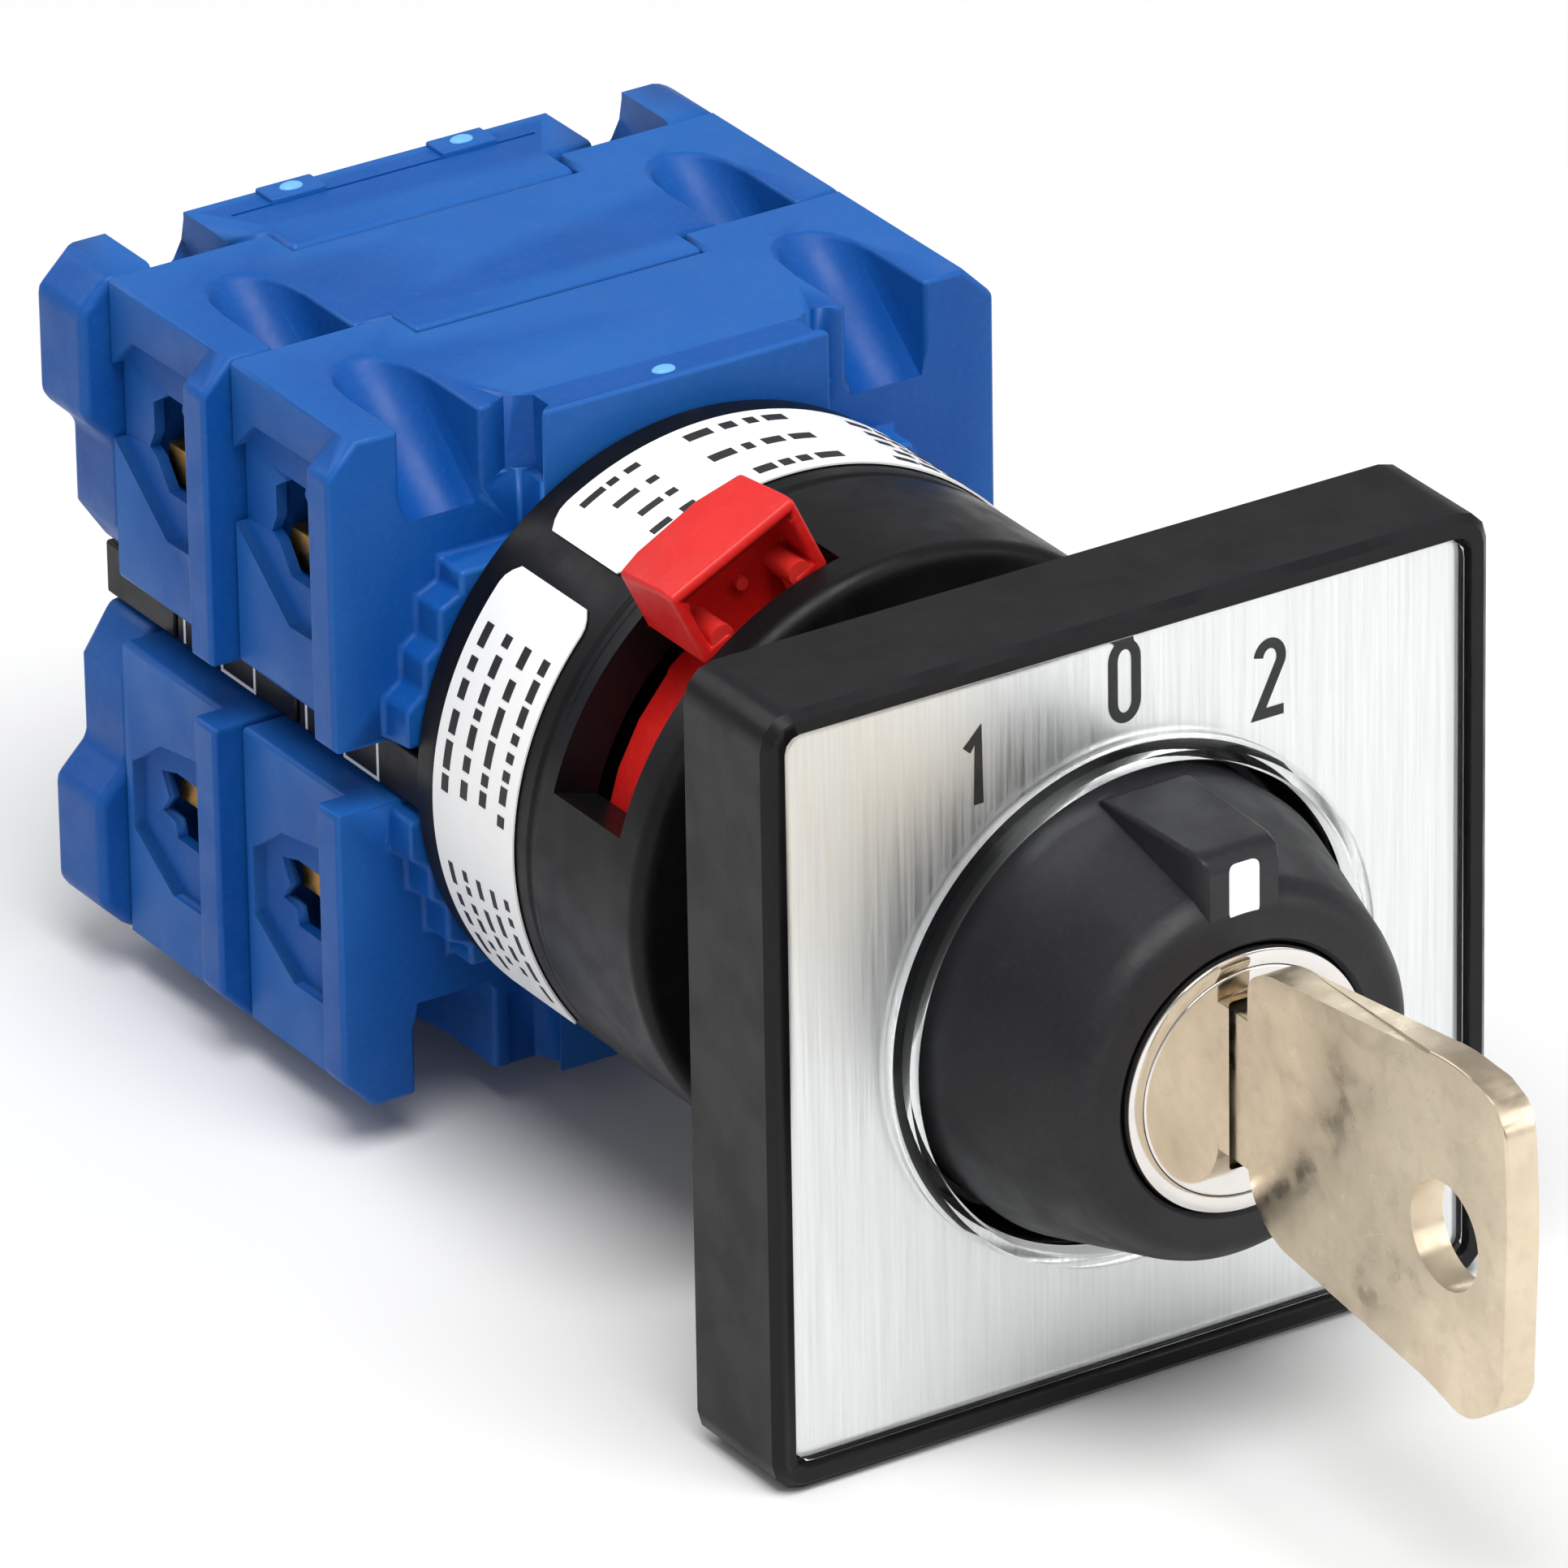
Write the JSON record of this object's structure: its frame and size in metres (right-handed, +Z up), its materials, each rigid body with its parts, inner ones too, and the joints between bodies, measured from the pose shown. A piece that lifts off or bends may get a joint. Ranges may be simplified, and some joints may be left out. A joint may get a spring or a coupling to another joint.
{
  "type": "selector key switch",
  "caption": "Key-operated rotary cam switch: square dial bezel with knob and key, latching collar and a stacked contact block with screw terminals.",
  "frame": {"origin": "on the switch axis, in the plane of the panel's front face (the bezel's back face)", "axes": "+Z up, +X to the right seen from the dial, the dial faces -Y and the contact block points towards +Y"},
  "size_m": [0.048, 0.1187, 0.048],
  "materials": {
    "black_plastic": "satin",
    "blue_plastic": "satin",
    "red_plastic": "satin",
    "white_print": "matt",
    "ivory_plastic": "matt",
    "black_rubber": "matt",
    "brushed_aluminium": "brushed",
    "clear_plastic": "clear",
    "polished_chrome": "polished",
    "nickel_silver": "worn",
    "zinc_steel": "plated",
    "brass": "plain"
  },
  "bodies": {
    "housing": {"bezel_frame": "black_plastic", "dial_plate": "brushed_aluminium", "clear_window": "clear_plastic", "panel_gasket": "black_rubber", "threaded_barrel": "black_plastic", "ring_nut": "black_plastic", "collar_housing": "black_plastic", "label_left": "white_print", "label_top": "white_print", "tie_bolt_left": "zinc_steel", "tie_bolt_right": "zinc_steel", "core_front": "black_plastic", "core_rear": "black_plastic", "rear_plate": "black_plastic", "block_front_upper": "blue_plastic", "block_front_lower": "blue_plastic", "block_rear_upper": "blue_plastic", "block_rear_lower": "blue_plastic", "rear_cover_upper": "blue_plastic", "rear_cover_lower": "blue_plastic", "terminal_front_upper_left": "brass", "screw_front_upper_left": "zinc_steel", "terminal_front_upper_right": "brass", "screw_front_upper_right": "zinc_steel", "terminal_front_lower_left": "brass", "screw_front_lower_left": "zinc_steel", "terminal_front_lower_right": "brass", "screw_front_lower_right": "zinc_steel", "terminal_rear_upper_left": "brass", "screw_rear_upper_left": "zinc_steel", "terminal_rear_upper_right": "brass", "screw_rear_upper_right": "zinc_steel", "terminal_rear_lower_left": "brass", "screw_rear_lower_left": "zinc_steel", "terminal_rear_lower_right": "brass", "screw_rear_lower_right": "zinc_steel"},
    "rotor": {"selector_knob": "black_plastic", "white_mark": "white_print", "lock_sleeve": "polished_chrome", "lock_plug": "polished_chrome", "drive_shaft": "zinc_steel", "cam_front": "ivory_plastic", "cam_rear": "ivory_plastic"},
    "key": {"key": "nickel_silver"},
    "latch": {"latch_ring": "red_plastic"},
    "contact_front_upper": {"plunger_front_upper": "ivory_plastic", "bridge_front_upper": "brass", "spring_front_upper": "zinc_steel"},
    "contact_front_lower": {"plunger_front_lower": "ivory_plastic", "bridge_front_lower": "brass", "spring_front_lower": "zinc_steel"},
    "contact_rear_upper": {"plunger_rear_upper": "ivory_plastic", "bridge_rear_upper": "brass", "spring_rear_upper": "zinc_steel"},
    "contact_rear_lower": {"plunger_rear_lower": "ivory_plastic", "bridge_rear_lower": "brass", "spring_rear_lower": "zinc_steel"}
  },
  "joints": [
    {"name": "selector_turn", "type": "hinge", "parent": "housing", "child": "rotor", "pos_m": [0, 0, 0], "axis": [0, 1, 0], "range_deg": [-30, 30]},
    {"name": "key_withdraw", "type": "slide", "parent": "rotor", "child": "key", "axis": [0, -1, 0], "range_m": [0, 0.017]},
    {"name": "latch_turn", "type": "hinge", "parent": "housing", "child": "latch", "pos_m": [0, 0, 0], "axis": [0, 1, 0], "range_deg": [-32, 0]},
    {"name": "contact_front_upper_slide", "type": "slide", "parent": "housing", "child": "contact_front_upper", "axis": [0, 0, 1], "range_m": [-0.00061, 0.00061], "deforming": ["spring_front_upper"]},
    {"name": "contact_front_lower_slide", "type": "slide", "parent": "housing", "child": "contact_front_lower", "axis": [0, 0, 1], "range_m": [-0.00061, 0.00061], "deforming": ["spring_front_lower"]},
    {"name": "contact_rear_upper_slide", "type": "slide", "parent": "housing", "child": "contact_rear_upper", "axis": [0, 0, 1], "range_m": [-0.00061, 0.00061], "deforming": ["spring_rear_upper"]},
    {"name": "contact_rear_lower_slide", "type": "slide", "parent": "housing", "child": "contact_rear_lower", "axis": [0, 0, 1], "range_m": [-0.00061, 0.00061], "deforming": ["spring_rear_lower"]}
  ],
  "couplings": [
    {"joint": "contact_front_upper_slide", "follows": "selector_turn", "m_per_rad": -0.0011459},
    {"joint": "contact_front_lower_slide", "follows": "selector_turn", "m_per_rad": -0.0011459},
    {"joint": "contact_rear_upper_slide", "follows": "selector_turn", "m_per_rad": 0.0011459},
    {"joint": "contact_rear_lower_slide", "follows": "selector_turn", "m_per_rad": 0.0011459}
  ]
}
